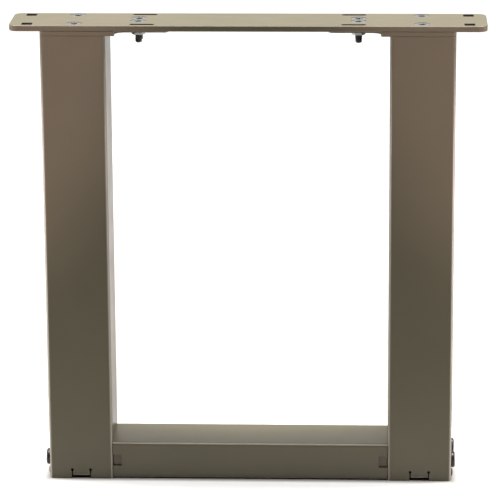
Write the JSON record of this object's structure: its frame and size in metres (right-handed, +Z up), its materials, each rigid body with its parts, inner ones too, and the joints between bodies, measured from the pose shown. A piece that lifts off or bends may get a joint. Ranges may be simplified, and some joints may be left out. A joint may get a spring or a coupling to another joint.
{
  "type": "u shaped table leg",
  "caption": "U shaped steel table leg: a slotted top plate on square tube uprights, with a low tube bar between the feet, bolted together under a grey brown powder coat.",
  "frame": {"origin": "on the floor, midway between the two legs and between front and back", "axes": "+X along the top plate, +Y from the front to the back, +Z up to the table top"},
  "size_m": [0.4, 0.055, 0.4],
  "materials": {
    "powder_coat": "semi-gloss powder coat, warm grey brown",
    "zinc": "bright zinc plated steel",
    "black_steel": "black plated steel, semi-gloss",
    "black_plastic": "matt black plastic"
  },
  "bodies": {
    "root": {"top_plate": "powder_coat", "bottom_bar": "powder_coat", "left_head_plate": "powder_coat", "left_leg": "powder_coat", "left_bar_end": "powder_coat", "left_leg_screws": "zinc", "left_leg_nuts": "zinc", "left_tongue_screws": "zinc", "left_tongue_nuts": "zinc", "left_bar_bolts": "black_steel", "left_bar_nuts": "zinc", "left_hole_plugs": "black_plastic", "right_head_plate": "powder_coat", "right_leg": "powder_coat", "right_bar_end": "powder_coat", "right_leg_screws": "zinc", "right_leg_nuts": "zinc", "right_tongue_screws": "zinc", "right_tongue_nuts": "zinc", "right_bar_bolts": "black_steel", "right_bar_nuts": "zinc", "right_hole_plugs": "black_plastic"}
  },
  "joints": []
}
